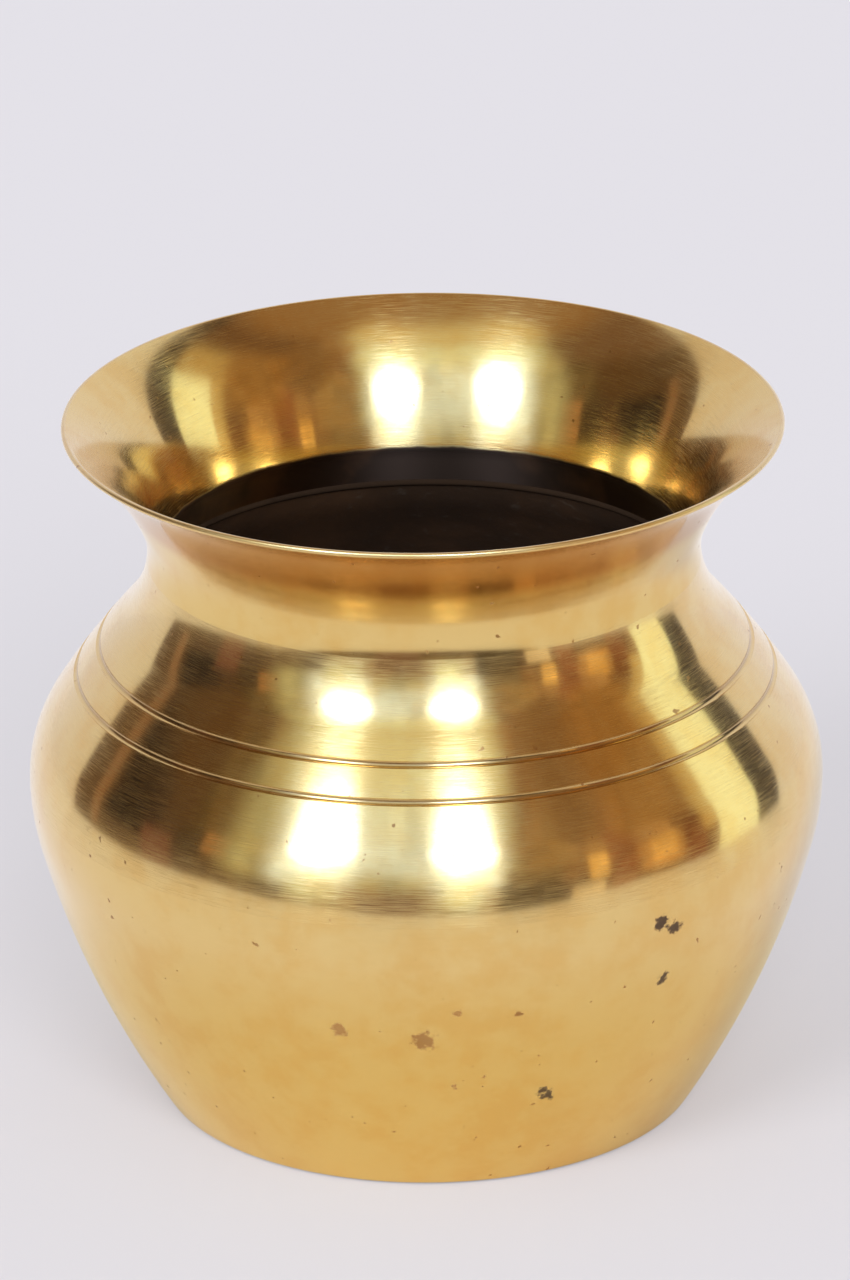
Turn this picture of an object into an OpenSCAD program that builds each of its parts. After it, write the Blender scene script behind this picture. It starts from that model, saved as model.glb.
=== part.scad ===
// Brass kalash: a round water pot with a wide belly, a drawn-in neck and a
// flared mouth. Three turned shells meet in lapped joints, one at the belly
// and one under the neck, and a ring of spelter fills each joint inside.
// Millimetres. The origin is the centre of the resting face, +Z is up.

/* [Overall] */
// Height from the resting face to the top of the lip
height = 108.8; // [106:0.2:112]
// Outside diameter of the flared mouth
mouth_d = 110; // [106:0.5:114]
// Outside diameter at the narrowest part of the neck
neck_d = 84.6; // [83:0.2:86]
// Clear diameter inside the neck, where the collar's wall is thickest
throat_d = 80; // [79.6:0.2:80.4]
// Outside diameter of the belly at its widest
belly_d = 122; // [120:0.2:125]
// Height of the widest part of the belly
belly_z = 51.2; // [50:0.2:53]
// Thickness of the brass wall
wall = 1.4; // [1.2:0.1:1.8]
// Thickness of the wall at the lip, where the flare runs thin
lip_t = 0.9; // [0.7:0.1:1.2]

/* [Curves] */
// Bend radius of the long curve that rises from the foot
foot_bend = 153; // [148:1:160]
// Bend radius just below the widest part of the belly
under_belly_bend = 36; // [33:0.5:39]
// Bend radius just above the widest part of the belly
over_belly_bend = 21; // [20:0.5:22]
// Bend radius of the hollow where the shoulder runs into the neck
neck_bend = 17.5; // [16.5:0.5:18.5]
// Lean of the wall where the foot curve meets the under-belly curve
under_belly_lean = 15.5; // [14:0.5:17]
// Lean of the wall where the over-belly curve meets the shoulder
over_belly_lean = 33; // [31:0.5:34]
// Steepest lean of the shoulder, where it turns into the neck
shoulder_lean = 41.5; // [41:0.5:43]
// Outer bend radius of the tight curve just above the narrowest part of the neck
throat_bend = 11.5; // [10:0.5:13]
// Lean of the outer face where that tight curve meets the open flare
throat_lean = 21; // [19:0.5:23]
// Lean of the mouth's inner face at the throat
mouth_low_lean = 16; // [15:0.5:17]
// Lean of the mouth's inner face where its lower bend meets its upper one
mouth_mid_lean = 28; // [26:0.5:29]
// Bend radius of the lower part of the mouth's inner face
mouth_low_bend = 45; // [42:1:48]
// Radius of the rounded edge at the throat
throat_edge = 0.6; // [0.4:0.1:0.8]

/* [Foot] */
// Radius of the rounded edge round the foot
foot_edge = 1.2; // [0.8:0.1:1.6]
// Width of the flat ring that the pot rests on
rest_w = 6; // [4:0.5:9]
// Height of the hollow under the floor, at its centre
hollow_h = 1.2; // [0.8:0.1:1.6]
// Thickness of the floor
floor_t = 1.8; // [1.6:0.1:2.4]
// Radius of the corner between floor and wall, inside
floor_corner = 4; // [3:0.5:6]

/* [Grooves] */
// Depth of the two turned grooves on the shoulder
groove_depth = 0.35; // [0.2:0.05:0.45]
// Width of each groove at the surface
groove_w = 1.2; // [0.9:0.1:1.6]
// Place of the upper groove, as a share of the shoulder curve from its foot
upper_groove_at = 0.71; // [0.66:0.01:0.76]
// Place of the lower groove, as a share of the shoulder curve from its foot
lower_groove_at = 0.39; // [0.34:0.01:0.44]

/* [Joints] */
// Angle of the belly bend that the lap covers
belly_lap = 11; // [9:1:13]
// Angle of the belly bend that the spelter fills
belly_fill = 3.2; // [2.6:0.2:4]
// Angle of the neck bend from the neck's waist down to the outer seam
neck_seam = 6; // [5:1:8]
// Angle of the neck bend that the lap covers
neck_lap = 13; // [11:1:15]
// Angle of the neck bend that the spelter fills
neck_fill = 4; // [3:0.5:5]
// How far the spelter stands proud of the inner wall
bead_h = 0.4; // [0.2:0.1:0.6]

/* [Hidden] */

$fn = 120;
arc_step = 2.5;
// Steps of the mouth's polished inner face, and of the small rounded edges
mouth_step = 1.5;
edge_step = 20;
// Angle at which the throat's rounded edge comes out of the wall
throat_edge_start = 240;
bead_steps = 6;
groove_sides = 40;
brass = [0.83, 0.66, 0.33];
spelter = [0.72, 0.58, 0.36];

mouth_r = mouth_d / 2;
neck_r = neck_d / 2;
belly_r = belly_d / 2;
half_wall = wall / 2;

// The outline is a chain of tangent bends. Each bend has a centre and an outer
// radius. "Lean" is the wall's angle from upright, in degrees.
over_c = [belly_r - over_belly_bend, belly_z];
under_c = [belly_r - under_belly_bend, belly_z];
foot_c = under_c - (foot_bend - under_belly_bend) * [cos(under_belly_lean), -sin(under_belly_lean)];

// The shoulder bend fills the gap between the belly's width and the neck's.
shoulder_foot = over_c + over_belly_bend * [cos(over_belly_lean), sin(over_belly_lean)];
shoulder_head_r = neck_r + neck_bend * (1 - cos(shoulder_lean));
shoulder_bend = (shoulder_foot[0] - shoulder_head_r) / (cos(over_belly_lean) - cos(shoulder_lean));
shoulder_c = shoulder_foot - shoulder_bend * [cos(over_belly_lean), sin(over_belly_lean)];
neck_z = shoulder_c[1] + (shoulder_bend + neck_bend) * sin(shoulder_lean);
neck_c = [neck_r + neck_bend, neck_z];

// The flare's two faces each have two bends, and the upper ones close on the
// round lip. The inner face starts at the throat's rounded edge, which stands
// inwards of the wall below it.
lip_r = lip_t / 2;
lip_c = [mouth_r - lip_r, height - lip_r];
function outwards(lean) = [cos(lean), -sin(lean)];
// Radius of a bend that starts at p with the given lean and touches the lip.
// grip is the lip's radius where the bend passes outside the lip, and minus
// that where it passes inside.
function flare_radius(p, lean, grip) =
    let(run = lip_c - p)
    (run * run - pow(lip_r, 2)) / (2 * (run * outwards(lean) + grip));

throat_c = [neck_r + throat_bend, neck_z];
outer_start = throat_c - throat_bend * outwards(throat_lean);
outer_flare = flare_radius(outer_start, throat_lean, lip_r);
outer_flare_c = outer_start + outer_flare * outwards(throat_lean);
outer_flare_lean = atan2(lip_c[1] - outer_flare_c[1], outer_flare_c[0] - lip_c[0]);

throat = [throat_d / 2, neck_z];
throat_edge_c = throat + throat_edge * outwards(mouth_low_lean);
mouth_low_c = throat + mouth_low_bend * outwards(mouth_low_lean);
mouth_start = mouth_low_c - mouth_low_bend * outwards(mouth_mid_lean);
mouth_bend = flare_radius(mouth_start, mouth_mid_lean, -lip_r);
mouth_c = mouth_start + mouth_bend * outwards(mouth_mid_lean);
mouth_lean = atan2(lip_c[1] - mouth_c[1], mouth_c[0] - lip_c[0]);

// The rounded edge of the foot and the corner inside both touch the foot bend.
edge_c = [foot_c[0] + sqrt(pow(foot_bend - foot_edge, 2) - pow(foot_edge - foot_c[1], 2)), foot_edge];
edge_lean = asin((foot_c[1] - foot_edge) / (foot_bend - foot_edge));
floor_z = hollow_h + floor_t;
corner_reach = foot_bend - wall - floor_corner;
corner_z = floor_z + floor_corner;
corner_c = [foot_c[0] + sqrt(pow(corner_reach, 2) - pow(corner_z - foot_c[1], 2)), corner_z];
corner_lean = asin((foot_c[1] - corner_z) / corner_reach);
hollow_r = edge_c[0] - rest_w;

// Points on a circle about c from angle a to angle b, with the last one left
// out so that the next bend can start there.
function arc(c, r, a, b, step = arc_step) =
    let(n = max(2, ceil(abs(b - a) / step)))
    [for (i = [0 : n - 1]) c + r * [cos(a + (b - a) * i / n), sin(a + (b - a) * i / n)]];
function end_point(c, r, a) = [c + r * [cos(a), sin(a)]];
function backwards(p) = [for (i = [len(p) - 1 : -1 : 0]) p[i]];

// Wall surfaces at a depth d under the outer surface, listed upwards.
// The belly and shoulder bulge outwards, so a deeper surface has a smaller
// radius. The neck is hollow outwards, so it has a larger one.
function foot_arc(d, from) =
    arc(foot_c, foot_bend - d, from, -under_belly_lean);
function under_arc(d) =
    arc(under_c, under_belly_bend - d, -under_belly_lean, 0);
function over_arc(d, from, to) =
    arc(over_c, over_belly_bend - d, from, to);
function shoulder_arc(d) =
    arc(shoulder_c, shoulder_bend - d, over_belly_lean, shoulder_lean);
function neck_arc(d, from, to) =
    arc(neck_c, neck_bend + d, 180 + from, 180 + to);
function over_point(d, a) = end_point(over_c, over_belly_bend - d, a);
function neck_point(d, a) = end_point(neck_c, neck_bend + d, 180 + a);

neck_lap_end = neck_seam + neck_lap;
neck_fill_end = neck_lap_end + neck_fill;
belly_fill_end = belly_lap + belly_fill;

module turned(points) {
    rotate_extrude() polygon(points);
}

// A ring of spelter between two angles of a bend, with a rounded inner face.
// side is -1 where a deeper surface has a smaller radius, 1 where it is larger.
module spelter_ring(c, bend, side, turn, from, to) {
    inner = bend + side * wall;
    bulge = [for (i = [1 : bead_steps - 1])
        let(share = i / bead_steps, a = turn + from + (to - from) * share, h = bead_h * sin(180 * share))
        c + (inner + side * h) * [cos(a), sin(a)]];
    turned(concat(
        arc(c, bend + side * half_wall, turn + from, turn + to),
        end_point(c, bend + side * half_wall, turn + to),
        end_point(c, inner, turn + to),
        backwards(bulge),
        end_point(c, inner, turn + from)));
}

// Foot, floor and lower half of the belly, with the inner half of the wall
// carried up past the seam as a spigot.
module lower_bowl() {
    outside = concat(
        arc(edge_c, foot_edge, -90, -edge_lean),
        foot_arc(0, -edge_lean),
        under_arc(0),
        over_point(0, 0));
    spigot = concat(
        over_arc(half_wall, 0, belly_lap),
        over_point(half_wall, belly_lap));
    inside = concat(
        arc(corner_c, floor_corner, -90, -corner_lean),
        foot_arc(wall, -corner_lean),
        under_arc(wall),
        over_arc(wall, 0, belly_lap),
        over_point(wall, belly_lap));
    underside = [[0, hollow_h], [hollow_r - hollow_h, hollow_h], [hollow_r, 0]];
    color(brass)
    turned(concat(underside, outside, spigot, backwards(inside), [[0, floor_z]]));
}

// Spelter above the spigot, flush in the wall and slightly proud inside.
module belly_braze() {
    color(spelter)
    spelter_ring(over_c, over_belly_bend, -1, 0, belly_lap, belly_fill_end);
}

// A rounded groove across the wall at a share of the shoulder curve.
module groove(at) {
    cutter_r = (pow(groove_w / 2, 2) + pow(groove_depth, 2)) / (2 * groove_depth);
    a = over_belly_lean + (shoulder_lean - over_belly_lean) * at;
    reach = shoulder_bend - groove_depth + cutter_r;
    translate(shoulder_c + reach * [cos(a), sin(a)])
    circle(r = cutter_r, $fn = groove_sides);
}

// Upper half of the belly and the shoulder, up to the seam under the neck.
module shoulder_shell() {
    outside = concat(
        over_arc(0, 0, over_belly_lean),
        shoulder_arc(0),
        neck_arc(0, shoulder_lean, neck_seam),
        neck_point(0, neck_seam));
    neck_rebate = concat(
        neck_arc(half_wall, neck_seam, neck_fill_end),
        neck_point(half_wall, neck_fill_end));
    inside = concat(
        over_arc(wall, belly_fill_end, over_belly_lean),
        shoulder_arc(wall),
        neck_arc(wall, shoulder_lean, neck_fill_end),
        neck_point(wall, neck_fill_end));
    belly_rebate = concat(
        over_arc(half_wall, 0, belly_fill_end),
        over_point(half_wall, belly_fill_end));
    color(brass)
    rotate_extrude() difference() {
        polygon(concat(outside, neck_rebate, backwards(inside), backwards(belly_rebate)));
        groove(upper_groove_at);
        groove(lower_groove_at);
    }
}

// Spelter under the collar's spigot.
module neck_braze() {
    color(spelter)
    spelter_ring(neck_c, neck_bend, 1, 180, neck_fill_end, neck_lap_end);
}

// Neck and flared mouth with a round lip. The inner half of the wall is
// carried down past the seam as a spigot.
module flared_collar() {
    outside = concat(
        neck_arc(0, neck_seam, 0),
        arc(throat_c, throat_bend, 180, 180 - throat_lean),
        arc(outer_flare_c, outer_flare, 180 - throat_lean, 180 - outer_flare_lean));
    lip = arc(lip_c, lip_r, -outer_flare_lean, 180 - mouth_lean, edge_step);
    inside = concat(
        neck_arc(wall, neck_lap_end, neck_seam),
        neck_point(wall, neck_seam),
        arc(throat_edge_c, throat_edge, throat_edge_start, 180 - mouth_low_lean, edge_step),
        arc(mouth_low_c, mouth_low_bend, 180 - mouth_low_lean, 180 - mouth_mid_lean, mouth_step),
        arc(mouth_c, mouth_bend, 180 - mouth_mid_lean, 180 - mouth_lean),
        end_point(mouth_c, mouth_bend, 180 - mouth_lean));
    spigot = neck_arc(half_wall, neck_lap_end, neck_seam);
    color(brass)
    turned(concat(outside, lip, backwards(inside), spigot, neck_point(half_wall, neck_seam)));
}

lower_bowl();
belly_braze();
shoulder_shell();
neck_braze();
flared_collar();
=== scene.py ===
"""Looks for the brass kalash: smooth turned shells over the CAD frame, brass and oxide
materials, and the white sheet and dim room with two lit umbrellas that the polish reflects."""
import math

import bpy
import numpy as np
from mathutils import Matrix, Vector, noise


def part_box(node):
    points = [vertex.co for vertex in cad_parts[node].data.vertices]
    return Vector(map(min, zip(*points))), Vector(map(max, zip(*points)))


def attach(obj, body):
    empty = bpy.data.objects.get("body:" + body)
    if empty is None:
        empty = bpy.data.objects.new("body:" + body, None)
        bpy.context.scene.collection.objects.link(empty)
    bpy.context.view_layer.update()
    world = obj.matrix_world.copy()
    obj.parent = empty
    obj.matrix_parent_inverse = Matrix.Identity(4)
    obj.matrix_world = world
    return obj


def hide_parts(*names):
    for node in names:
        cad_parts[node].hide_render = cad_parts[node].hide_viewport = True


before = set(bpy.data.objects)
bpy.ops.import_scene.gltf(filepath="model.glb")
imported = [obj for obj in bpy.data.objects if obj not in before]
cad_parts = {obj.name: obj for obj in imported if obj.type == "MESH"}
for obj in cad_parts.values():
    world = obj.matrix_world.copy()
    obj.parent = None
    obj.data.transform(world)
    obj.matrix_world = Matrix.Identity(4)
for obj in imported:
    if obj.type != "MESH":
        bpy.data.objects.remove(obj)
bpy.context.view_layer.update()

# ---------------------------------------------------------------- sizes, in metres
MM = 0.001
WALL = 1.4 * MM
LIP_T = 0.9 * MM
NECK_R = 42.3 * MM
FOOT_BEND = 153 * MM
UNDER_BEND = 36 * MM
OVER_BEND = 21 * MM
NECK_BEND = 17.5 * MM
THROAT_R = 40 * MM
THROAT_BEND = 11.5 * MM
THROAT_EDGE = 0.6 * MM
MOUTH_LOW_BEND = 45 * MM

# Leans of the wall where one bend passes into the next.
UNDER_LEAN = math.radians(15.5)
OVER_LEAN = math.radians(33)
SHOULDER_LEAN = math.radians(41.5)
THROAT_LEAN = math.radians(21)
MOUTH_LOW_LEAN = math.radians(16)
MOUTH_MID_LEAN = math.radians(28)

# Angle at which the throat's rounded edge runs back into the wall.
THROAT_EDGE_END = math.radians(240)

FOOT_EDGE = 1.2 * MM
REST_W = 6 * MM
HOLLOW_H = 1.2 * MM
FLOOR_T = 1.8 * MM
FLOOR_CORNER = 4 * MM

GROOVE_DEPTH = 0.35 * MM
GROOVE_W = 1.2 * MM
GROOVE_POWER = 0.8          # shape of a groove's bottom: 0.5 is an ellipse, 1 a parabola
GROOVES_AT = (0.71, 0.39)   # places along the shoulder, as shares of its length

BELLY_LAP = math.radians(11)
BELLY_FILL = math.radians(3.2)
NECK_SEAM = math.radians(6)
NECK_LAP = math.radians(13)
NECK_FILL = math.radians(4)
BEAD_H = 0.4 * MM

AROUND = 400                # steps round the pot

# Spacing of the rows of corners on each kind of face.
FINE = 0.55 * MM            # polished
COARSE = 1.6 * MM           # inside
FLOOR_STEP = 2.2 * MM       # floor, from above and below
REST_STEP = 1.2 * MM        # resting ring
CORNER_STEP = 0.5 * MM      # floor's corner and the side of the hollow below it
EDGE_STEP = 0.2 * MM        # rounded edge of the foot
LAP_STEP = 1.0 * MM         # laps of the joints
BEAD_STEP = 0.2 * MM        # rings of spelter
LIP_STEP = 0.1 * MM         # round lip
THROAT_STEP = 0.12 * MM     # rounded edge of the throat
BEAD_ROWS = 12              # rows across the bulge of a ring of spelter
GROOVE_ROWS = 25            # rows across a groove
GROOVE_REACH = 0.75         # how far these go to each side, in groove widths

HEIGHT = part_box("flared_collar")[1].z
MOUTH_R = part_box("flared_collar")[1].x
BELLY_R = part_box("lower_bowl")[1].x
BELLY_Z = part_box("shoulder_shell")[0].z


def vec(x, z):
    return np.array([x, z], float)


def toward(c, r, a):
    """The point at a distance r from a centre, at angle a above the level."""
    return c + r * vec(math.cos(a), math.sin(a))


def outwards(lean):
    """The direction away from the axis at right angles to a wall with a given lean."""
    return vec(math.cos(lean), -math.sin(lean))


# The outline is a chain of tangent bends, each with a centre and an outer radius.
over_c = vec(BELLY_R - OVER_BEND, BELLY_Z)
under_c = vec(BELLY_R - UNDER_BEND, BELLY_Z)
foot_c = under_c - (FOOT_BEND - UNDER_BEND) * outwards(UNDER_LEAN)
shoulder_foot = toward(over_c, OVER_BEND, OVER_LEAN)
SHOULDER_BEND = ((shoulder_foot[0] - NECK_R - NECK_BEND * (1 - math.cos(SHOULDER_LEAN)))
                 / (math.cos(OVER_LEAN) - math.cos(SHOULDER_LEAN)))
SHOULDER_RUN = (SHOULDER_LEAN - OVER_LEAN) * SHOULDER_BEND
shoulder_c = toward(shoulder_foot, -SHOULDER_BEND, OVER_LEAN)
NECK_Z = shoulder_c[1] + (SHOULDER_BEND + NECK_BEND) * math.sin(SHOULDER_LEAN)
neck_c = vec(NECK_R + NECK_BEND, NECK_Z)

LIP_R = LIP_T / 2
lip_c = vec(MOUTH_R - LIP_R, HEIGHT - LIP_R)


def flare(start, lean, grip):
    """Centre, radius and lean at the lip of a bend that starts at a point with the given
    lean and touches the round lip."""
    run = lip_c - start
    r = (run @ run - LIP_R ** 2) / (2 * (run @ outwards(lean) + grip))
    c = start + r * outwards(lean)
    return c, r, math.atan2(lip_c[1] - c[1], c[0] - lip_c[0])


throat_c = vec(NECK_R + THROAT_BEND, NECK_Z)
flare_start = throat_c - THROAT_BEND * outwards(THROAT_LEAN)
flare_c, FLARE_BEND, FLARE_LEAN = flare(flare_start, THROAT_LEAN, LIP_R)
throat = vec(THROAT_R, NECK_Z)
throat_edge_c = throat + THROAT_EDGE * outwards(MOUTH_LOW_LEAN)
mouth_low_c = throat + MOUTH_LOW_BEND * outwards(MOUTH_LOW_LEAN)
mouth_start = mouth_low_c - MOUTH_LOW_BEND * outwards(MOUTH_MID_LEAN)
mouth_c, MOUTH_BEND, MOUTH_LEAN = flare(mouth_start, MOUTH_MID_LEAN, -LIP_R)

edge_reach = FOOT_BEND - FOOT_EDGE
edge_lean = math.asin((foot_c[1] - FOOT_EDGE) / edge_reach)
edge_c = vec(foot_c[0] + edge_reach * math.cos(edge_lean), FOOT_EDGE)
FLOOR_Z = HOLLOW_H + FLOOR_T
corner_reach = FOOT_BEND - WALL - FLOOR_CORNER
corner_lean = math.asin((foot_c[1] - FLOOR_Z - FLOOR_CORNER) / corner_reach)
corner_c = vec(foot_c[0] + corner_reach * math.cos(corner_lean), FLOOR_Z + FLOOR_CORNER)
HOLLOW_R = edge_c[0] - REST_W

HALF = WALL / 2
belly_end = BELLY_LAP + BELLY_FILL
neck_lap_end = NECK_SEAM + NECK_LAP
neck_end = neck_lap_end + NECK_FILL


# ---------------------------------------------------------------- outlines
def arc(c, r, a, b, step):
    """Points on a bend from angle a to angle b, without the last one."""
    n = max(2, math.ceil(abs(b - a) * r / step))
    return [toward(c, r, a + (b - a) * i / n) for i in range(n)]


def line(p, q, step):
    """Points on a straight run from p to q, without the last one."""
    n = max(1, math.ceil(float(np.linalg.norm(q - p)) / step))
    return [p + (q - p) * i / n for i in range(n)]


def groove_cut(along):
    """Depth of the turned grooves at a distance along the shoulder curve."""
    depth = 0.0
    for share in GROOVES_AT:
        t = abs(along - share * SHOULDER_RUN) / (GROOVE_W / 2)
        if t < 1:
            depth += GROOVE_DEPTH * (1 - t * t) ** GROOVE_POWER
    return depth


def grooved_shoulder():
    """The outer shoulder curve with close rows across each groove."""
    stops = set(np.linspace(0, SHOULDER_RUN, math.ceil(SHOULDER_RUN / FINE), endpoint=False))
    for share in GROOVES_AT:
        middle = share * SHOULDER_RUN
        stops = {s for s in stops if abs(s - middle) > GROOVE_REACH * GROOVE_W}
        stops |= set(middle + GROOVE_W * np.linspace(-GROOVE_REACH, GROOVE_REACH, GROOVE_ROWS))
    return [toward(shoulder_c, SHOULDER_BEND - groove_cut(s), OVER_LEAN + s / SHOULDER_BEND)
            for s in sorted(stops)]


def groove_height(share):
    """Height of the middle of a groove."""
    along = OVER_LEAN + share * (SHOULDER_LEAN - OVER_LEAN)
    return toward(shoulder_c, SHOULDER_BEND, along)[1]


# Arcs and points of the belly's upper bend and of the neck's bend, at a depth d in the wall.
def over_arc(d, a, b, step):
    return arc(over_c, OVER_BEND - d, a, b, step)


def neck_arc(d, a, b, step):
    return arc(neck_c, NECK_BEND + d, math.pi + a, math.pi + b, step)


def over_point(d, a):
    return toward(over_c, OVER_BEND - d, a)


def neck_point(d, a):
    return toward(neck_c, NECK_BEND + d, math.pi + a)


# Each outline is a list of (points, kind of face) runs in order round the section.
OUT, IN, JOINT, LIP = 0, 1, 2, 3


def bowl_outline():
    under = line(vec(0, HOLLOW_H), vec(HOLLOW_R - HOLLOW_H, HOLLOW_H), FLOOR_STEP)
    under += line(vec(HOLLOW_R - HOLLOW_H, HOLLOW_H), vec(HOLLOW_R, 0), CORNER_STEP)
    under += line(vec(HOLLOW_R, 0), vec(edge_c[0], 0), REST_STEP)
    wall = arc(edge_c, FOOT_EDGE, -math.pi / 2, -edge_lean, EDGE_STEP)
    wall += arc(foot_c, FOOT_BEND, -edge_lean, -UNDER_LEAN, FINE)
    wall += arc(under_c, UNDER_BEND, -UNDER_LEAN, 0, FINE)
    spigot = line(over_point(0, 0), over_point(HALF, 0), HALF)
    spigot += over_arc(HALF, 0, BELLY_LAP, LAP_STEP)
    spigot += line(over_point(HALF, BELLY_LAP), over_point(WALL, BELLY_LAP), HALF)
    inside = over_arc(WALL, BELLY_LAP, 0, COARSE)
    inside += arc(under_c, UNDER_BEND - WALL, 0, -UNDER_LEAN, COARSE)
    inside += arc(foot_c, FOOT_BEND - WALL, -UNDER_LEAN, -corner_lean, COARSE)
    inside += arc(corner_c, FLOOR_CORNER, -corner_lean, -math.pi / 2, CORNER_STEP)
    inside += line(vec(corner_c[0], FLOOR_Z), vec(0, FLOOR_Z), FLOOR_STEP)
    inside += [vec(0, FLOOR_Z)]
    return [(under, OUT), (wall, OUT), (spigot, JOINT), (inside, IN)]


def shoulder_outline():
    wall = over_arc(0, 0, OVER_LEAN, FINE) + grooved_shoulder()
    wall += neck_arc(0, SHOULDER_LEAN, NECK_SEAM, FINE)
    rebate = line(neck_point(0, NECK_SEAM), neck_point(HALF, NECK_SEAM), HALF)
    rebate += neck_arc(HALF, NECK_SEAM, neck_end, LAP_STEP)
    rebate += line(neck_point(HALF, neck_end), neck_point(WALL, neck_end), HALF)
    inside = neck_arc(WALL, neck_end, SHOULDER_LEAN, COARSE)
    inside += arc(shoulder_c, SHOULDER_BEND - WALL, SHOULDER_LEAN, OVER_LEAN, COARSE)
    inside += over_arc(WALL, OVER_LEAN, belly_end, COARSE)
    seat = line(over_point(WALL, belly_end), over_point(HALF, belly_end), HALF)
    seat += over_arc(HALF, belly_end, 0, LAP_STEP)
    seat += line(over_point(HALF, 0), over_point(0, 0), HALF)
    return [(wall, OUT), (rebate, JOINT), (inside, IN), (seat, JOINT)]


def collar_outline():
    wall = neck_arc(0, NECK_SEAM, 0, FINE)
    wall += arc(throat_c, THROAT_BEND, math.pi, math.pi - THROAT_LEAN, FINE)
    wall += arc(flare_c, FLARE_BEND, math.pi - THROAT_LEAN, math.pi - FLARE_LEAN, FINE)
    lip = arc(lip_c, LIP_R, -FLARE_LEAN, math.pi - MOUTH_LEAN, LIP_STEP)
    low, mid = math.pi - MOUTH_LOW_LEAN, math.pi - MOUTH_MID_LEAN
    inside = arc(mouth_c, MOUTH_BEND, math.pi - MOUTH_LEAN, mid, FINE)
    inside += arc(mouth_low_c, MOUTH_LOW_BEND, mid, low, FINE)
    inside += arc(throat_edge_c, THROAT_EDGE, low, THROAT_EDGE_END, THROAT_STEP)
    edge_foot = toward(throat_edge_c, THROAT_EDGE, THROAT_EDGE_END)
    inside += line(edge_foot, neck_point(WALL, NECK_SEAM), FINE)
    inside += neck_arc(WALL, NECK_SEAM, neck_lap_end, FINE)
    spigot = line(neck_point(WALL, neck_lap_end), neck_point(HALF, neck_lap_end), HALF)
    spigot += neck_arc(HALF, neck_lap_end, NECK_SEAM, LAP_STEP)
    spigot += line(neck_point(HALF, NECK_SEAM), neck_point(0, NECK_SEAM), HALF)
    return [(wall, OUT), (lip, LIP), (inside, IN), (spigot, JOINT)]


def bead_outline(c, bend, side, turn, a, b):
    """A ring of spelter that fills the wall's inner half between two angles of a bend, and
    bulges a little inside it."""
    mid, inner = bend + side * HALF, bend + side * WALL
    back = arc(c, mid, turn + a, turn + b, BEAD_STEP)
    top = line(toward(c, mid, turn + b), toward(c, inner, turn + b), BEAD_STEP)
    bulge = []
    for i in range(BEAD_ROWS):
        s = i / BEAD_ROWS
        out = inner + side * BEAD_H * math.sin(math.pi * s)
        bulge.append(toward(c, out, turn + b + (a - b) * s))
    low = line(toward(c, inner, turn + a), toward(c, mid, turn + a), BEAD_STEP)
    return [(back + top + bulge + low, OUT)]


# ---------------------------------------------------------------- unevenness and pits
SWELL = 0.10 * MM         # depth of the slow swells that spinning leaves
FACET = 0.035 * MM        # depth of the shallow facets that hammering leaves
SWELL_RATE = 1.3          # how closely the swells follow each other
FACET_RATE = 4.1          # and the facets
HAND_SPAN = 30 * MM       # height over which the unevenness changes as it does in a radian
EVEN_R = 20 * MM          # it fades out towards the axis inside this radius
PIT_GRAIN = 0.9 * MM      # size of the lumps inside a pit


def hand_work(r, z, a):
    """How far the wall lies inside its true circle at angle a and height z. Spinning and
    hammering leave it a little out of round, in slow swells and shallow facets."""
    p = Vector((math.cos(a), math.sin(a), z / HAND_SPAN))
    slow = noise.noise(p * SWELL_RATE + Vector((3.1, 7.4, 1.9)))
    facet = noise.noise(p * FACET_RATE + Vector((9.2, 2.6, 5.3)))
    ease = min(1.0, r / EVEN_R)
    return ease * (SWELL * (1 + slow) / 2 + FACET * (1 + facet) / 2)


def pitting(x, y, z):
    """Depth of the casting pits near a point of the outer wall."""
    depth = 0.0
    for at, size, deep in PITS:
        near = math.dist((x, y, z), at)
        if near < size:
            rough = 0.6 + 0.5 * noise.noise(Vector((x, y, z)) / PIT_GRAIN)
            depth = max(depth, deep * rough * (1 - (near / size) ** 2))
    return depth


def wall_point(angle_deg, z):
    """A point on the outer wall of the bowl at a compass angle, 0 facing -Y and 90 facing +X."""
    if z < BELLY_Z - UNDER_BEND * math.sin(UNDER_LEAN):
        r = foot_c[0] + math.sqrt(FOOT_BEND ** 2 - (z - foot_c[1]) ** 2)
    else:
        r = under_c[0] + math.sqrt(UNDER_BEND ** 2 - (z - BELLY_Z) ** 2)
    a = math.radians(angle_deg - 90)
    return (r * math.cos(a), r * math.sin(a), z)


# Casting pits on the bowl: place, reach and depth.
PITS = [
    (wall_point(35.3, 46.8 * MM), 1.5 * MM, 0.22 * MM),
    (wall_point(37.7, 45.2 * MM), 1.3 * MM, 0.18 * MM),
    (wall_point(37.4, 36.1 * MM), 1.1 * MM, 0.16 * MM),
    (wall_point(20.5, 17.6 * MM), 1.2 * MM, 0.2 * MM),
    (wall_point(19.2, 18.6 * MM), 1.0 * MM, 0.18 * MM),
]

# Brown stains on the bowl: place and reach.
STAINS = [
    (wall_point(-0.8, 30.8 * MM), 2.2 * MM),
    (wall_point(-13.7, 32.3 * MM), 1.5 * MM),
    (wall_point(4.3, 35.8 * MM), 0.8 * MM),
    (wall_point(13.4, 35.1 * MM), 0.8 * MM),
]


# ---------------------------------------------------------------- meshes
ON_AXIS = 1e-7                      # a radius below this is a point on the axis
SHARP_ANGLE = math.radians(38)      # a fold of more than this stays a sharp edge


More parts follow.
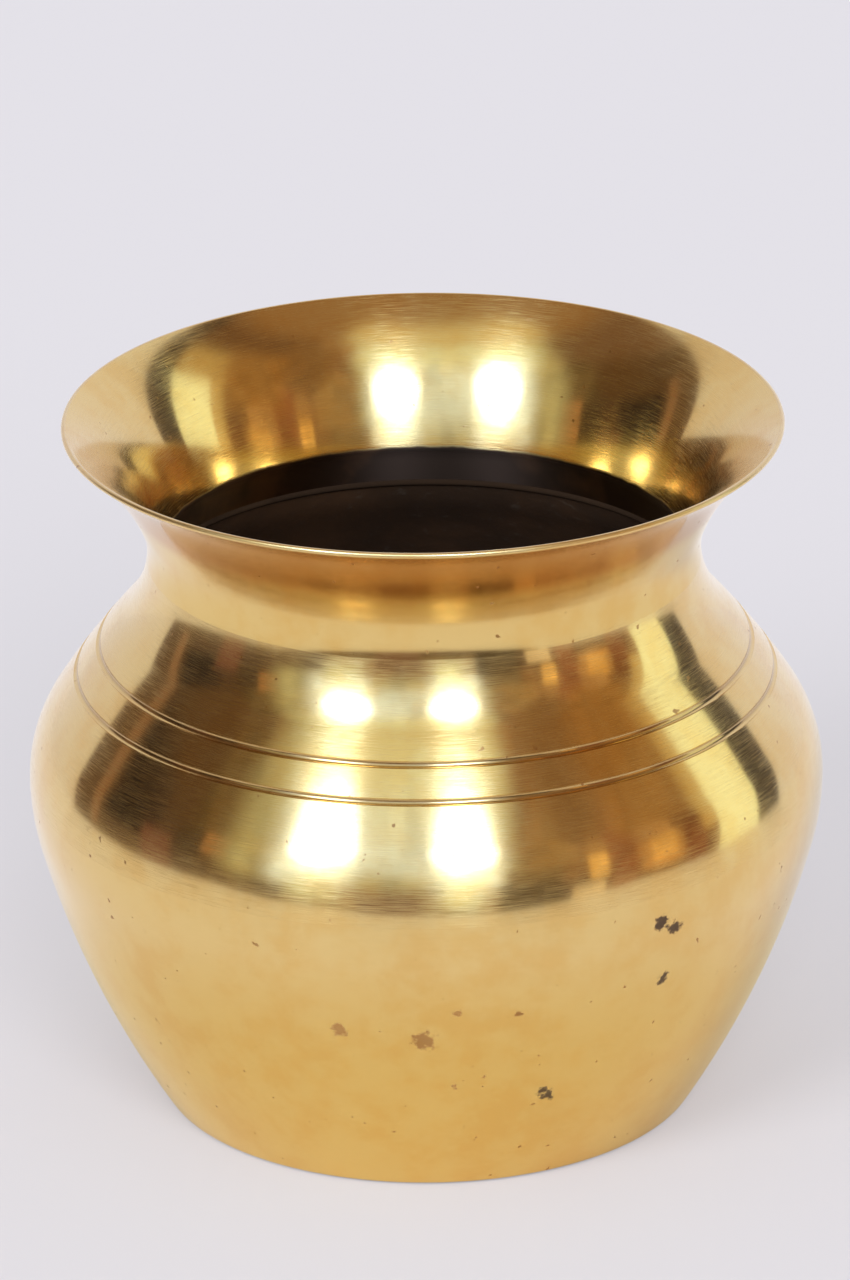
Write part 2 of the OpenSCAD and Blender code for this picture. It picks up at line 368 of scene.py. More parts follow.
def rings_round(points, pitted):
    """Corners of a body of revolution: a ring for each point of its outline, or one corner
    for a point on the axis. Where a point is marked as pitted, the front half of its ring
    sinks into the casting pits."""
    verts, rings = [], []
    for (r, z), has_pits in zip(points, pitted):
        if r < ON_AXIS:
            rings.append([len(verts)])
            verts.append((0.0, 0.0, z))
            continue
        rings.append(list(range(len(verts), len(verts) + AROUND)))
        for k in range(AROUND):
            a = 2 * math.pi * k / AROUND
            q = r - hand_work(r, z, a)
            x, y = q * math.cos(a), q * math.sin(a)
            if has_pits and y < 0:
                deep = pitting(x, y, z)
                x, y = x * (1 - deep / r), y * (1 - deep / r)
            verts.append((x, y, z))
    return verts, rings


def faces_between(rings, kinds, closed):
    """Faces from each ring to the next, and the kind of each face."""
    faces, tags = [], []
    count = len(rings)
    for i in range(count if closed else count - 1):
        p, q = rings[i], rings[(i + 1) % count]
        if len(p) == 1 and len(q) == 1:
            continue
        for k in range(AROUND):
            m = (k + 1) % AROUND
            if len(p) == 1:
                faces.append((p[0], q[k], q[m]))
            elif len(q) == 1:
                faces.append((p[k], q[0], p[m]))
            else:
                faces.append((p[k], q[k], q[m], p[m]))
            tags.append(kinds[i])
    return faces, tags


def mesh_object(name, verts, faces):
    mesh = bpy.data.meshes.new(name)
    mesh.from_pydata(verts, [], faces)
    mesh.update()
    obj = bpy.data.objects.new(name, mesh)
    bpy.context.scene.collection.objects.link(obj)
    return obj


def turned(name, outline, materials, closed=True, pitted=False):
    """A body of revolution from an outline of (points, kind of face) runs. The section of a
    closed outline joins up with itself, and an open one starts and ends on the axis."""
    points, kinds = [], []
    for run, kind in outline:
        points += run
        kinds += [kind] * len(run)
    verts, rings = rings_round(points, [pitted and kind == OUT for kind in kinds])
    faces, tags = faces_between(rings, kinds, closed)
    obj = mesh_object(name, verts, faces)
    mesh = obj.data
    facing_out = sum(f.normal.dot(Vector((f.center.x, f.center.y, 0))) for f in mesh.polygons
                     if tags[f.index] == OUT)
    if facing_out < 0:
        mesh.flip_normals()
    used = sorted(set(tags))
    for tag in used:
        mesh.materials.append(materials[tag])
    for f in mesh.polygons:
        f.material_index = used.index(tags[f.index])
        f.use_smooth = True
    mesh.set_sharp_from_angle(angle=SHARP_ANGLE)
    return obj


# ---------------------------------------------------------------- material helpers
class Nodes:
    """Short calls for building a node tree."""

    def __init__(self, tree):
        self.tree = tree

    def add(self, kind, inputs=(), **settings):
        node = self.tree.nodes.new(kind)
        for key, value in settings.items():
            setattr(node, key, value)
        for key, value in dict(inputs).items():
            self.put(node.inputs[key], value)
        return node

    def put(self, socket, value):
        """Give a socket a value, or link it to another node's output."""
        if isinstance(value, bpy.types.NodeSocket):
            self.tree.links.new(value, socket)
        else:
            socket.default_value = value

    def place(self):
        """The point being shaded, in metres from the object's own origin."""
        return self.add("ShaderNodeTexCoord").outputs["Object"]

    def math(self, op, a, b=0.0):
        return self.add("ShaderNodeMath", {0: a, 1: b}, operation=op).outputs[0]

    def vector(self, op, a, b=(0, 0, 0)):
        return self.add("ShaderNodeVectorMath", {0: a, 1: b}, operation=op).outputs["Vector"]

    def length(self, vector):
        node = self.add("ShaderNodeVectorMath", {0: vector}, operation="LENGTH")
        return node.outputs["Value"]

    def noise(self, vector, scale, detail=3.0, rough=0.5):
        node = self.add("ShaderNodeTexNoise",
                        {"Vector": vector, "Scale": scale, "Detail": detail, "Roughness": rough})
        return node.outputs["Fac"]

    def bump(self, height, strength, distance):
        node = self.add("ShaderNodeBump",
                        {"Height": height, "Strength": strength, "Distance": distance})
        return node.outputs["Normal"]

    def step(self, value, low, high):
        """0 below low, 1 above high, smooth between them. Low may be the larger of the two."""
        node = self.add("ShaderNodeMapRange",
                        {"Value": value, "From Min": low, "From Max": high},
                        interpolation_type="SMOOTHSTEP", clamp=True)
        return node.outputs["Result"]

    def mix(self, share, a, b, how="MIX"):
        """Colour a where share is 0 and b where it is 1. A mix node has inputs and outputs
        of the same name for each type of data, so they are picked by number."""
        node = self.add("ShaderNodeMix", data_type="RGBA", clamp_factor=True, blend_type=how)
        self.put(node.inputs[0], share)
        self.put(node.inputs[6], a)
        self.put(node.inputs[7], b)
        return node.outputs[2]

    def blend(self, share, a, b):
        """Number a where share is 0 and b where it is 1."""
        node = self.add("ShaderNodeMix", data_type="FLOAT", clamp_factor=True)
        self.put(node.inputs[0], share)
        self.put(node.inputs[2], a)
        self.put(node.inputs[3], b)
        return node.outputs[0]


def new_material(name):
    mat = bpy.data.materials.new(name)
    mat.use_nodes = True
    tree = mat.node_tree
    shader = tree.nodes["Principled BSDF"]
    return mat, Nodes(tree), shader


SPOT_GRAIN = 900.0    # fineness of the ragged edges
SPOT_CORE = 0.45      # share of a spot's reach that is fully dark


def spot(nodes, place, at, reach, rag):
    """1 inside a ragged spot about a point, 0 outside it."""
    gap = nodes.add("ShaderNodeVectorMath", {0: place, 1: at}, operation="DISTANCE")
    ragged = nodes.noise(place, SPOT_GRAIN, 3.0)
    shift = nodes.math("MULTIPLY", nodes.math("SUBTRACT", ragged, 0.5), reach * 2 * rag)
    gap = nodes.math("ADD", gap.outputs["Value"], shift)
    return nodes.step(gap, reach, reach * SPOT_CORE)


def most(nodes, values):
    """The largest of several numbers."""
    top = values[0]
    for value in values[1:]:
        top = nodes.math("MAXIMUM", top, value)
    return top


# ---------------------------------------------------------------- materials
BRASS = (0.715, 0.51, 0.195, 1)
BRASS_DEEP = (0.69, 0.45, 0.145, 1)
# browner brass under the lip: a painted darker reflection
BRASS_PAINTED_DARK_REFLECTION = (0.57, 0.30, 0.092, 1)
# painted shade in the turned grooves
GROOVE_PAINTED_SHADE = (0.30, 0.17, 0.065, 1)
PIT = (0.11, 0.066, 0.036, 1)
STAIN = (0.32, 0.105, 0.012, 1)
OXIDE_DARK = (0.055, 0.033, 0.020, 1)
OXIDE_BROWN = (0.115, 0.060, 0.030, 1)
OXIDE_WORN = (0.32, 0.18, 0.07, 1)
OXIDE_CRUST = (0.16, 0.14, 0.11, 1)
SPELTER_BLACK = (0.030, 0.018, 0.011, 1)
SPELTER_BROWN = (0.055, 0.032, 0.018, 1)

# Broad clouding, finer patches and small specks: scale, detail and roughness of the noise.
CLOUDS = (55.0, 4.0, 0.55)
PATCHES = (170.0, 3.0, 0.6)
SPECKS = (700.0, 1.0)

# The same for what turning leaves, on a place stretched round the pot.
RIDGES = (0.8, 1.0)
RIDGE_STRETCH = (5.0, 5.0, 1000.0)
SCRATCHES = (80.0, 0.0)
SCRATCH_STRETCH = (3.0, 3.0, 1000.0)

# How far each mark covers the brass.
GROOVE_SHADE_SHARE = 0.55
STAIN_SHARE = 0.72
SPECK_SHARE = 0.6
PIT_SHARE = 0.92

GROOVE_SHADE_HALF = 0.50 * MM      # from the middle of a groove to the edge of its painted shade
GROOVE_SHADE_CORE = 0.15 * MM      # from the middle to where the painted shade starts to thin out
PAINTED_REFLECTION_FADE = 4 * MM       # height over which the painted darker reflection fades in under the lip
DULL_FADE = 0.6 * MM        # height over which the polish ends
DULL_RAG = 0.8 * MM         # how ragged that edge is
MARK_ROUGH = 0.55           # roughness of stains, specks and pits
OXIDE_ROUGH = 0.60
COAT_ROUGH = 0.15
TURNING_DEPTH = 0.004 * MM  # depth of the ridges that turning leaves


def turning_lines(nodes, place):
    """Marks that run round the pot, nearly the same all the way round: ridges about a
    millimetre apart, and polishing scratches far finer than that."""
    ridges = nodes.noise(nodes.vector("MULTIPLY", place, RIDGE_STRETCH), *RIDGES)
    scratches = nodes.noise(nodes.vector("MULTIPLY", place, SCRATCH_STRETCH), *SCRATCHES)
    return ridges, scratches


def add_painted_dark_reflection(nodes, colour, height, above):
    """Browner brass above a height: a painted darker reflection under the lip."""
    painted_reflection_share = nodes.step(height, above, above + PAINTED_REFLECTION_FADE)
    return nodes.mix(painted_reflection_share, colour, BRASS_PAINTED_DARK_REFLECTION)


def add_groove_shade(nodes, colour, height, middle):
    """Painted shade in the groove whose middle is at a height."""
    off = nodes.math("ABSOLUTE", nodes.math("SUBTRACT", height, middle))
    groove_shade_share = nodes.math("MULTIPLY", nodes.step(off, GROOVE_SHADE_HALF, GROOVE_SHADE_CORE), GROOVE_SHADE_SHARE)
    return nodes.mix(groove_shade_share, colour, GROOVE_PAINTED_SHADE)


def add_marks(nodes, colour, rough, place):
    """Brown stains, scattered specks and dark dull pits."""
    marks = [spot(nodes, place, at, reach, 1.0) for at, reach in STAINS]
    pits = [spot(nodes, place, at, reach * 1.1, 1.1) for at, reach, _ in PITS]
    stained = nodes.math("MULTIPLY", most(nodes, marks), STAIN_SHARE)
    speckled = nodes.step(nodes.noise(place, *SPECKS), 0.74, 0.80)
    stained = nodes.math("MAXIMUM", stained, nodes.math("MULTIPLY", speckled, SPECK_SHARE))
    colour = nodes.mix(stained, colour, STAIN)
    pitted = nodes.math("MULTIPLY", most(nodes, pits), PIT_SHARE)
    colour = nodes.mix(pitted, colour, PIT)
    return colour, nodes.blend(nodes.math("MAXIMUM", stained, pitted), rough, MARK_ROUGH)


def polished_brass(name, sharp, wide, coat, brushed=0.95, dull_below=None, painted_reflection_above=None,
                   grooves=()):
    """Turned and burnished brass. Its scratches mix a sharp reflection with a wide one.
    Below the height dull_below the polish gives way to dark oxide, in a ragged edge.
    Above the height given for it, under the lip, the brass is browner: a painted darker
    reflection. The turned grooves, whose heights are given, are darkened with painted shade."""
    mat, nodes, shader = new_material(name)
    place = nodes.place()
    height = nodes.add("ShaderNodeSeparateXYZ", {0: place}).outputs["Z"]
    ridges, scratches = turning_lines(nodes, place)
    cloud = nodes.noise(place, *CLOUDS)
    patch = nodes.noise(place, *PATCHES)
    mottle = nodes.step(nodes.math("MULTIPLY", cloud, patch), 0.16, 0.38)
    colour = nodes.mix(mottle, BRASS, BRASS_DEEP)
    if painted_reflection_above is not None:
        colour = add_painted_dark_reflection(nodes, colour, height, painted_reflection_above)
    for middle in grooves:
        colour = add_groove_shade(nodes, colour, height, middle)
    rough = nodes.blend(nodes.step(scratches, 0.42, 0.72), sharp, wide)
    colour, rough = add_marks(nodes, colour, rough, place)

    if dull_below is not None:
        uneven = nodes.math("MULTIPLY", nodes.math("SUBTRACT", patch, 0.5), DULL_RAG)
        ragged_height = nodes.math("ADD", height, uneven)
        dull = nodes.step(ragged_height, dull_below, dull_below - DULL_FADE)
        oxide_tone = nodes.mix(nodes.step(cloud, 0.45, 0.62), OXIDE_DARK, OXIDE_BROWN)
        colour = nodes.mix(dull, colour, oxide_tone)
        rough = nodes.blend(dull, rough, OXIDE_ROUGH)

    relief = nodes.math("ADD", ridges, nodes.math("MULTIPLY", cloud, 0.8))
    tangent = nodes.add("ShaderNodeTangent", direction_type="RADIAL", axis="Z")
    shader.inputs["Metallic"].default_value = 1.0
    shader.inputs["Anisotropic"].default_value = brushed
    shader.inputs["Anisotropic Rotation"].default_value = 0.25
    shader.inputs["Coat Weight"].default_value = coat
    shader.inputs["Coat Roughness"].default_value = COAT_ROUGH
    nodes.put(shader.inputs["Base Color"], colour)
    nodes.put(shader.inputs["Roughness"], rough)
    nodes.put(shader.inputs["Normal"], nodes.bump(relief, 1.0, TURNING_DEPTH))
    nodes.put(shader.inputs["Tangent"], tangent.outputs["Tangent"])
    return mat


def oxide(name):
    """The unpolished inside: dark brown oxide over brass, worn through in places, with
    grains of pale crust."""
    mat, nodes, shader = new_material(name)
    place = nodes.place()
    broad = nodes.noise(place, 28.0, 5.0, 0.6)
    grain = nodes.noise(place, 420.0, 4.0, 0.65)
    colour = nodes.mix(nodes.step(broad, 0.4, 0.68), OXIDE_DARK, OXIDE_BROWN)
    worn = nodes.math("MULTIPLY", nodes.step(broad, 0.62, 0.8), nodes.step(grain, 0.5, 0.62))
    colour = nodes.mix(worn, colour, OXIDE_WORN)
    crust = nodes.math("MULTIPLY", nodes.step(grain, 0.58, 0.7), 0.25)
    colour = nodes.mix(crust, colour, OXIDE_CRUST)
    nodes.put(shader.inputs["Base Color"], colour)
    nodes.put(shader.inputs["Metallic"], nodes.blend(worn, 0.35, 1.0))
    nodes.put(shader.inputs["Roughness"], nodes.blend(grain, 0.38, 0.62))
    nodes.put(shader.inputs["Normal"], nodes.bump(grain, 0.6, 0.15 * MM))
    return mat


def spelter(name):
    """Brazing spelter left as it ran, blackened by the fire and slightly lumpy."""
    mat, nodes, shader = new_material(name)
    place = nodes.place()
    lumps = nodes.noise(place, 380.0, 3.0, 0.5)
    film = nodes.noise(place, 60.0, 4.0, 0.6)
    colour = nodes.mix(nodes.step(film, 0.45, 0.75), SPELTER_BLACK, SPELTER_BROWN)
    shader.inputs["Metallic"].default_value = 0.1
    shader.inputs["Specular IOR Level"].default_value = 0.05
    nodes.put(shader.inputs["Base Color"], colour)
    nodes.put(shader.inputs["Roughness"], nodes.blend(lumps, 0.8, 0.95))
    nodes.put(shader.inputs["Normal"], nodes.bump(lumps, 0.8, 0.2 * MM))
    return mat


# ---------------------------------------------------------------- pieces
PAINTED_REFLECTION_Z = 96 * MM                  # the painted darker reflection under the lip begins above this
POLISH_END_Z = NECK_Z + 0.35 * MM    # the mouth's polish ends here, at the throat

# Each brass: how sharp its polish is, how wide its scratches spread a light, and its coat.
bowl_brass = polished_brass("bowl_brass", 0.11, 0.22, 0.5)
# The shoulder's turned grooves carry painted shade.
shoulder_brass = polished_brass("shoulder_brass", 0.10, 0.32, 0.55,
                                grooves=[groove_height(share) for share in GROOVES_AT])
# The collar is browner under the lip: a painted darker reflection.
collar_brass = polished_brass("collar_brass", 0.07, 0.14, 0.1, painted_reflection_above=PAINTED_REFLECTION_Z)
lip_brass = polished_brass("lip_brass", 0.35, 0.45, 1.0, brushed=0.0)
throat_brass = polished_brass("throat_brass", 0.09, 0.28, 0.3, dull_below=POLISH_END_Z)
inside_oxide = oxide("inside_oxide")
joint_metal = spelter("brazing_spelter")

# The materials go in the order OUT, IN, JOINT, LIP.
bowl = turned("lower_bowl_wall", bowl_outline(), (bowl_brass, inside_oxide, joint_metal),
              closed=False, pitted=True)
shoulder = turned("shoulder_shell_wall", shoulder_outline(),
                  (shoulder_brass, inside_oxide, joint_metal))
collar = turned("flared_collar_wall", collar_outline(),
                (collar_brass, throat_brass, joint_metal, lip_brass))
belly_bead = turned("belly_braze_ring",
                    bead_outline(over_c, OVER_BEND, -1, 0, BELLY_LAP, belly_end), (joint_metal,))
neck_bead = turned("neck_braze_ring",
                   bead_outline(neck_c, NECK_BEND, 1, math.pi, neck_end, neck_lap_end),
                   (joint_metal,))

for piece, node, slot in (
    (bowl, "lower_bowl", "polished_brass"),
    (shoulder, "shoulder_shell", "polished_brass"),
    (collar, "flared_collar", "polished_brass"),
    (belly_bead, "belly_braze", "spelter"),
    (neck_bead, "neck_braze", "spelter"),
):
    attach(piece, "root")
    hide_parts(node)


# ---------------------------------------------------------------- paper
PAPER_GREY = (0.43, 0.42, 0.455, 1)     # the camera's paper, which also glows
PAPER_GLOW = 0.335
PAPER_WHITE = (0.97, 0.95, 0.98, 1)     # the paper that the polish reflects
# painted shade and golden glow on the reflected paper near the pot's foot
PAPER_PAINTED_SHADE_AND_GLOW = (0.89, 0.81, 0.61, 1)
PAINTED_SHADE_FROM = 104 * MM                  # the painted shade and golden glow begin this far from the pot's axis
PAINTED_SHADE_FULL = 62 * MM                   # and are at their full here
TENT_LIGHT = (0.98, 0.96, 1.0, 1)


def rectangle(name, x0, x1, y0, y1, z):
    corners = [(x0, y0, z), (x1, y0, z), (x1, y1, z), (x0, y1, z)]
    return mesh_object(name, corners, [(0, 1, 2, 3)])


def sheet(name, x0, x1, y0, y1, z):
    """A level sheet."""
    obj = rectangle(name, x0, x1, y0, y1, z)
    return obj


def white_paper(name, colour, glow):
    """Matt white paper. Its glow stands for the tent's light that comes through it."""
    mat, nodes, shader = new_material(name)
    nodes.put(shader.inputs["Base Color"], colour(nodes))
    shader.inputs["Roughness"].default_value = 0.9
    shader.inputs["Specular IOR Level"].default_value = 0.1
    shader.inputs["Emission Color"].default_value = TENT_LIGHT
    shader.inputs["Emission Strength"].default_value = glow
    return mat


def plain_white(nodes):
    return PAPER_GREY


def white_with_painted_shade_and_glow(nodes):
    """White, with painted shade and a painted golden glow round the pot's foot, standing for the
    pot's shadow and the light it throws on the paper.
    """
    away = nodes.length(nodes.add("ShaderNodeNewGeometry").outputs["Position"])
    painted_shade_and_glow = nodes.step(away, PAINTED_SHADE_FROM, PAINTED_SHADE_FULL)
    return nodes.mix(painted_shade_and_glow, PAPER_WHITE, PAPER_PAINTED_SHADE_AND_GLOW)


# The polish reflects one sheet, which ends a little in front of the pot. The camera sees
# another, just below it, which goes on out of the picture.
near = sheet("paper_in_reflections", -0.50, 0.45, -0.30, 1.5, 0.0)
# The reflected paper carries painted shade and a painted golden glow round the pot's foot.
near.data.materials.append(white_paper("paper_in_reflections", white_with_painted_shade_and_glow, 0.0))
near.visible_camera = False
near.visible_diffuse = False
near.visible_shadow = False
far = sheet("paper", -8, 8, -8, 8, -0.2 * MM)
far.data.materials.append(white_paper("paper", plain_white, PAPER_GLOW))
far.visible_glossy = False


# ---------------------------------------------------------------- lights
CARD_AIM = Vector((0, -0.05, 0.07))     # the point on the pot that both umbrellas face
CARD_AWAY = 2.0                         # metres from there to each umbrella
CARD_ACROSS = 11                        # half the width and height of an umbrella, in degrees
CARD_TALL = 15
CARD_GLOW = 14
CARD_COLOUR = (1.0, 1.25, 1.95, 1)
SUN_SPREAD = math.radians(25)
SUN_STRENGTH = 1.3


def bearing(azimuth, elevation):
    """The direction of a light from the pot, in degrees: azimuth 0 is in front of the pot
    and 90 on its right."""
    a, e = math.radians(azimuth), math.radians(elevation)
    return Vector((math.sin(a) * math.cos(e), -math.cos(a) * math.cos(e), math.sin(e)))


def facing(away):
    """The turn that makes an object's Z axis point away from the pot."""
    return away.to_track_quat("Z", "Y").to_euler()


def umbrella(name, azimuth, elevation):
    """A lit umbrella that only reflections see: a card that faces the pot, brightest in the
    middle and clear at its rim."""
    obj = rectangle(name, -1, 1, -1, 1, 0)
    away = bearing(azimuth, elevation)
    obj.location = CARD_AIM + away * CARD_AWAY
    obj.rotation_euler = facing(away)
    obj.scale = (CARD_AWAY * math.tan(math.radians(CARD_ACROSS)),
                 CARD_AWAY * math.tan(math.radians(CARD_TALL)), 1)
    obj.visible_camera = False
    obj.visible_diffuse = False
    obj.visible_shadow = False
    mat = bpy.data.materials.new(name)
    mat.use_nodes = True
    nodes = Nodes(mat.node_tree)
    nodes.tree.nodes.clear()
    fall = nodes.step(nodes.length(nodes.place()), 1.0, 0.15)
    strength = nodes.math("MULTIPLY", fall, CARD_GLOW)
    glow = nodes.add("ShaderNodeEmission", {"Color": CARD_COLOUR, "Strength": strength})
    clear = nodes.add("ShaderNodeBsdfTransparent")
    both = nodes.add("ShaderNodeAddShader", {0: glow.outputs[0], 1: clear.outputs[0]})
    nodes.add("ShaderNodeOutputMaterial", {"Surface": both.outputs[0]})
    obj.data.materials.append(mat)


def paper_light(name, azimuth, elevation):
    """Light from an umbrella as the paper and the oxide take it: even, with soft shadows."""
    data = bpy.data.lights.new(name, "SUN")
    data.energy = SUN_STRENGTH
    data.angle = SUN_SPREAD
    obj = bpy.data.objects.new(name, data)
    obj.rotation_euler = facing(bearing(azimuth, elevation))
    obj.visible_glossy = False
    bpy.context.scene.collection.objects.link(obj)


umbrella("umbrella_left", -34.5, 36)
umbrella("umbrella_right", 12, 36)
paper_light("umbrella_left_on_paper", -36.5, 33)
paper_light("umbrella_right_on_paper", 11, 33)

# ---------------------------------------------------------------- room
ROOM_LIGHT = 1.22
MATT_LIGHT = (0.58, 0.58, 0.58, 1)      # the room's light as matt surfaces take it
BACKDROP = (0.80, 0.79, 0.82, 1)        # what the camera sees beyond the paper
EDGE_SPREAD = 0.0018                    # how far upright edges spread, per degree of rise
GOODS_SHARE = 0.45                      # how much the goods in the room break up its tones
GOODS_DARK = (0.5, 0.45, 0.4, 1)        # how they darken and lighten it
GOODS_LIGHT = (1.6, 1.5, 1.4, 1)

# Each fades in from the first of two bearings to the second, in degrees.
CEILING_RISE = (57, 66)
TENT_SIDE = (119.5, 121.5)
TENT_TOP = (56, 50)
TENT_RIGHT = (-1, 1)

# What stands round the pot, as the polish shows it: azimuths and elevations in degrees
# (0 in front and + on the right), softness of the edges, and colour.
ROOM = [
    (-112, -48, -60, 46, 8, (0.085, 0.056, 0.042)),   # unlit side of the room
    (-104, 88, -60, 5, 5, (0.120, 0.080, 0.070)),     # dark floor in front of the paper
    (-130, -56, 44, 70, 8, (0.19, 0.118, 0.085)),     # dark upper wall on the left
    (50, 130, 46, 70, 8, (0.15, 0.085, 0.055)),       # dark upper wall on the right
    (-121, -103, -60, 45, 3, (0.120, 0.078, 0.055)),  # door frame on the left
    (-111, -107, -4, 34, 2, (0.30, 0.185, 0.135)),    # lit edge of the frame
    (-105, -84, 6, 29, 5, (0.028, 0.022, 0.024)),     # open dark doorway
    (-102, -72, 29, 46, 10, (0.115, 0.070, 0.042)),   # wall over the doorway
    (-88, -77, -10, 14, 3, (0.200, 0.095, 0.080)),    # red-brown chair back
    (-76, -62, 8, 26, 4, (0.070, 0.050, 0.040)),      # dark patch beside it
    (-74, -60, 26, 46, 6, (0.14, 0.110, 0.070)),      # dim wall over that
    (-67, -58, 13, 27, 2, (0.46, 0.27, 0.15)),        # lit patch on the left
    (-60, 28, 6, 66, 12, (0.52, 0.55, 0.43)),         # wall behind the umbrellas
    (-40, 28, -12, 10, 8, (0.37, 0.32, 0.27)),        # lit floor below it
    (-32, 10, 20, 54, 14, (0.92, 1.22, 1.85)),        # bright wall between the umbrellas
    (-52, 30, 46, 66, 12, (0.86, 1.00, 0.95)),        # bright wall over them
    (-20, -2, -60, 3, 5, (0.22, 0.145, 0.14)),        # darker floor between them
    (-46, -23, 8, 50, 10, (1.0, 1.34, 2.1)),          # light thrown round each umbrella,
    (2, 22, 8, 50, 10, (1.0, 1.34, 2.1)),
    (-40, -26, -4, 14, 8, (0.66, 0.76, 0.68)),        # and on the floor below each
    (4, 15, -6, 14, 8, (0.82, 1.00, 1.00)),
    (20, 38, -60, 9, 4, (0.085, 0.066, 0.055)),       # dark chair in front
    (22, 38, 9, 20, 5, (0.24, 0.20, 0.15)),           # dim patch over the chair
    (28, 44, 18, 42, 6, (0.36, 0.27, 0.17)),          # wall on the right
    (41, 60, 34, 58, 6, (0.25, 0.16, 0.10)),          # darker wall beside it
    (41, 51, -12, 0, 2, (0.90, 0.82, 0.74)),          # bright patch of the floor
    (46, 52, 3, 21, 2, (1.05, 0.72, 0.32)),           # lit shelf on the right
    (53, 62, -60, 34, 4, (0.31, 0.150, 0.095)),       # red-brown upright on the right
    (62, 78, -3, 17, 4, (0.56, 0.35, 0.18)),          # lit goods on the right
    (66, 75, 2, 18, 3, (0.95, 0.62, 0.26)),           # the brightest of them
    (78, 86, -60, 20, 3, (0.22, 0.090, 0.055)),       # dark upright beside them
    (58, 88, 26, 52, 8, (0.34, 0.20, 0.09)),          # lamplit wall on the right
    (85, 93, 8, 40, 4, (0.66, 0.52, 0.28)),           # frame of the window
    (91, 109, -60, 40, 2, (1.12, 1.28, 1.15)),        # bright window
    (86, 109, 38, 50, 8, (0.55, 0.42, 0.22)),         # wall over the window
    (109, 122, -60, 60, 2, (0.070, 0.062, 0.070)),    # dark curtain beside it
]


def lit(red, green, blue):
    """A colour of the room at the strength of the room's light."""
    return red * ROOM_LIGHT, green * ROOM_LIGHT, blue * ROOM_LIGHT, 1


def bearings(nodes):
    """Azimuth and elevation of a direction, in degrees. The azimuth shrinks a little with
    the rise, so an upright edge of the room spreads away from the front as it goes up."""
    xyz = nodes.add("ShaderNodeSeparateXYZ",
                    {0: nodes.add("ShaderNodeTexCoord").outputs["Generated"]})
    front = nodes.math("MULTIPLY", xyz.outputs["Y"], -1.0)
    degree = 180 / math.pi
    rise = nodes.math("MULTIPLY", nodes.math("ARCSINE", xyz.outputs["Z"]), degree)
    turn = nodes.math("MULTIPLY", nodes.math("ARCTAN2", xyz.outputs["X"], front), degree)
    shrink = nodes.math("SUBTRACT", 1.0, nodes.math("MULTIPLY", rise, EDGE_SPREAD))
    return nodes.math("MULTIPLY", turn, shrink), rise


def window(nodes, place, az0, az1, el0, el1, soft):
    """1 inside a soft-edged box of azimuth and elevation, 0 outside it."""
    middle = ((az0 + az1) / 2, (el0 + el1) / 2, 0)
    half = ((az1 - az0) / 2, (el1 - el0) / 2)
    gap = nodes.vector("ABSOLUTE", nodes.vector("SUBTRACT", place, middle))
    apart = nodes.add("ShaderNodeSeparateXYZ", {0: gap})
    across = nodes.step(apart.outputs["X"], half[0] + soft / 2, half[0] - soft / 2)
    along = nodes.step(apart.outputs["Y"], half[1] + soft / 2, half[1] - soft / 2)
    return nodes.math("MULTIPLY", across, along)


def furnished(nodes, place):
    """Colour of the room: the rows of ROOM over small boxes of brown, and the boxes again
    as goods that lighten and darken what is in front of the pot."""
    boxes = nodes.add("ShaderNodeTexVoronoi", {"Vector": place, "Scale": 0.16, "Randomness": 0.7},
                      voronoi_dimensions="2D", distance="CHEBYCHEV")
    tone = nodes.add("ShaderNodeSeparateColor", {0: boxes.outputs["Color"]}).outputs[0]
    colour = nodes.mix(tone, lit(0.22, 0.13, 0.085), lit(0.46, 0.31, 0.20))
    for az0, az1, el0, el1, soft, rgb in ROOM:
        colour = nodes.mix(window(nodes, place, az0, az1, el0, el1, soft), colour, lit(*rgb))
    goods = nodes.math("MULTIPLY", window(nodes, place, -75, 88, -10, 50, 10), GOODS_SHARE)
    shades = nodes.mix(tone, GOODS_DARK, GOODS_LIGHT)
    return nodes.mix(goods, colour, shades, how="MULTIPLY")


def roofed(nodes, colour, place, rise):
    """The ceiling over the room, with a paler patch above the umbrellas."""
    high = nodes.step(rise, *CEILING_RISE)
    patch = nodes.math("MULTIPLY", high, window(nodes, place, -66, 40, 40, 73, 16))
    colour = nodes.mix(high, colour, lit(0.32, 0.20, 0.12))
    return nodes.mix(patch, colour, lit(0.76, 0.70, 0.48))


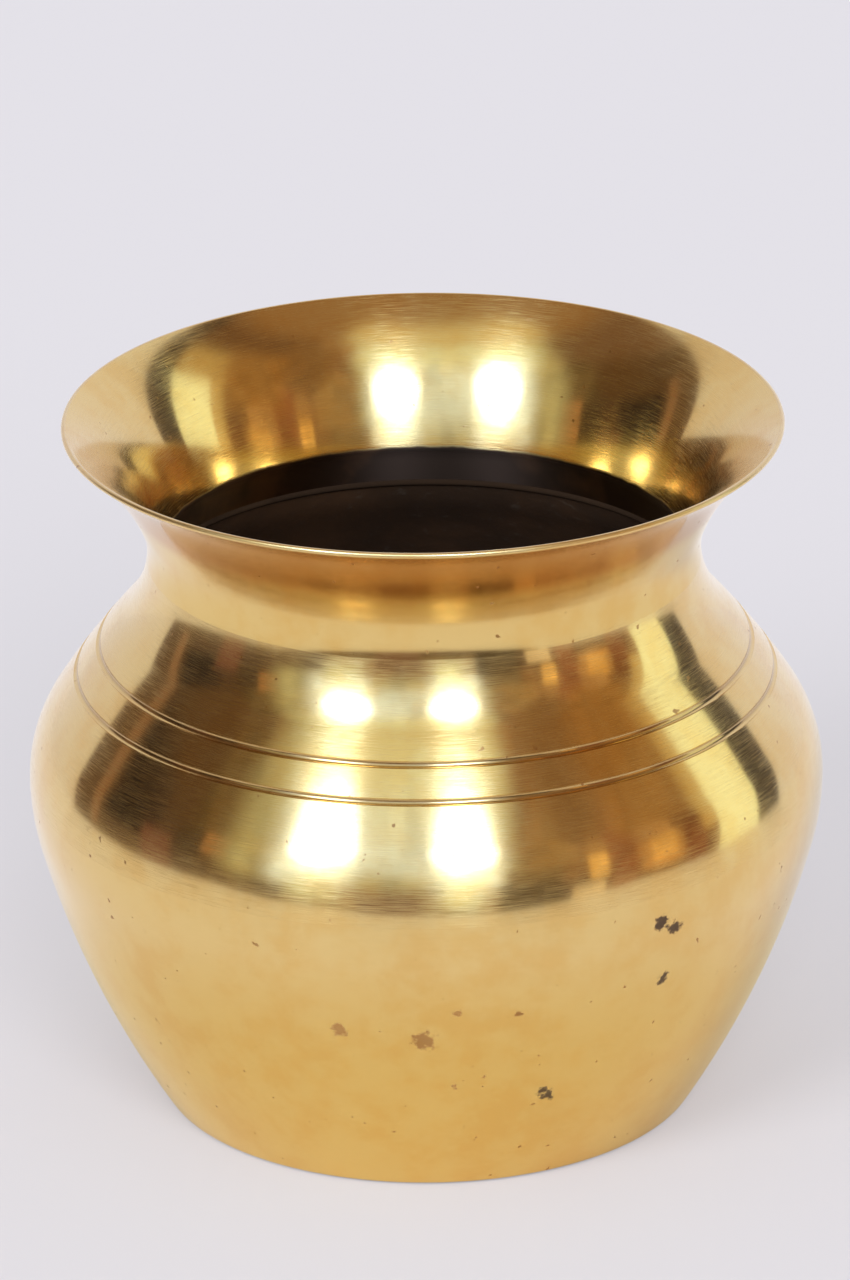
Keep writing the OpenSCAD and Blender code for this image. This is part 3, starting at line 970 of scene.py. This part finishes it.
def tented(nodes, colour, turn, rise):
    """The white tent behind the pot, a little brighter and bluer on the right."""
    right = nodes.step(turn, *TENT_RIGHT)
    tent_colour = nodes.mix(right, lit(0.73, 0.72, 0.78), lit(0.80, 0.81, 0.92))
    behind = nodes.step(nodes.math("ABSOLUTE", turn), *TENT_SIDE)
    tent = nodes.math("MULTIPLY", behind, nodes.step(rise, *TENT_TOP))
    return nodes.mix(tent, colour, tent_colour)


def room_light():
    """The world: a plain white for the camera, a plain grey for matt surfaces, and for the
    reflections the room that the pot stands in, with a white tent behind the pot."""
    world = bpy.data.worlds.new("room")
    world.cycles.sampling_method = "NONE"
    bpy.context.scene.world = world
    world.use_nodes = True
    nodes = Nodes(world.node_tree)
    nodes.tree.nodes.clear()
    turn, rise = bearings(nodes)
    place = nodes.add("ShaderNodeCombineXYZ", {0: turn, 1: rise}).outputs[0]
    colour = furnished(nodes, place)
    colour = roofed(nodes, colour, place, rise)
    colour = tented(nodes, colour, turn, rise)
    path = nodes.add("ShaderNodeLightPath")
    colour = nodes.mix(path.outputs["Is Diffuse Ray"], colour, MATT_LIGHT)
    colour = nodes.mix(path.outputs["Is Camera Ray"], colour, BACKDROP)
    back = nodes.add("ShaderNodeBackground", {"Color": colour, "Strength": 1.0})
    nodes.add("ShaderNodeOutputWorld", {"Surface": back.outputs[0]})


room_light()

# ---------------------------------------------------------------- camera
CAMERA_BACK = 1.509
CAMERA_HIGH = HEIGHT + 0.5863
CAMERA_TILT = math.radians(90 - 22.42)
CAMERA_ROLL = math.radians(-0.6)
camera_data = bpy.data.cameras.new("camera")
camera_data.lens = 300
camera_data.sensor_width = 36
camera_data.clip_start = 0.05
camera_data.clip_end = 50
camera = bpy.data.objects.new("camera", camera_data)
camera.matrix_world = (Matrix.Translation((0, -CAMERA_BACK, CAMERA_HIGH))
                       @ Matrix.Rotation(CAMERA_TILT, 4, "X")
                       @ Matrix.Rotation(CAMERA_ROLL, 4, "Z"))
bpy.context.scene.collection.objects.link(camera)
bpy.context.scene.camera = camera
bpy.context.scene.view_settings.view_transform = "Standard"

bpy.context.view_layer.update()
